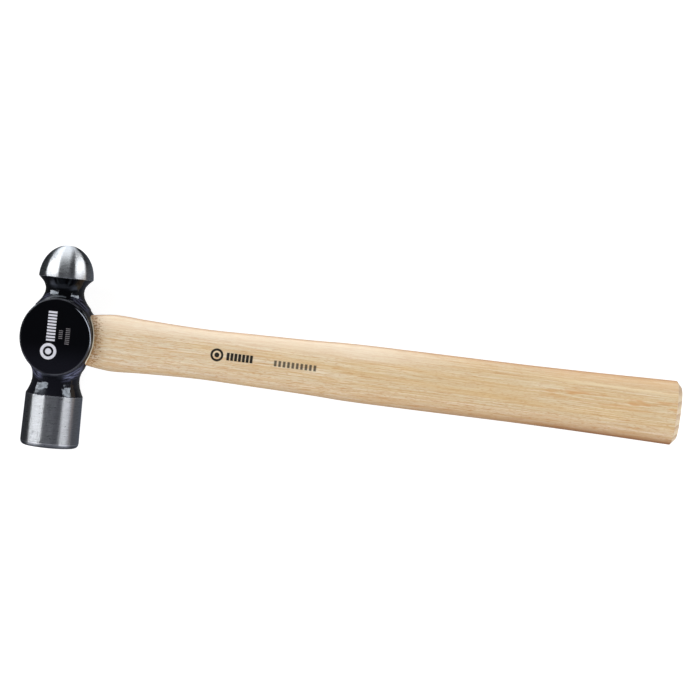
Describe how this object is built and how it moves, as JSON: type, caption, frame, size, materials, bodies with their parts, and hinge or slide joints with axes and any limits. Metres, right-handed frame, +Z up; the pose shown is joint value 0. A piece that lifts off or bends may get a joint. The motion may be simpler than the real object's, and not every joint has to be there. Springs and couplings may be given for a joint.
{
  "type": "ball peen hammer",
  "caption": "Forged steel hammer head with a round striking face and a ball peen, wedged onto a long oval wooden handle.",
  "frame": {"origin": "middle of the bounding box, on the plane that the lower cheek lies on", "axes": "+X along the handle to its butt, +Y along the head from the striking face to the ball, +Z up, square to the flat cheeks"},
  "size_m": [0.3366, 0.1036, 0.0301],
  "materials": {
    "head_lacquer": "gloss",
    "handle_wood": "satin",
    "wedge_wood": "matte",
    "bare_steel": "satin"
  },
  "bodies": {
    "root": {"head": "head_lacquer", "handle": "handle_wood", "wood_wedge": "wedge_wood", "steel_wedge_upper": "bare_steel", "steel_wedge_lower": "bare_steel"}
  },
  "joints": []
}
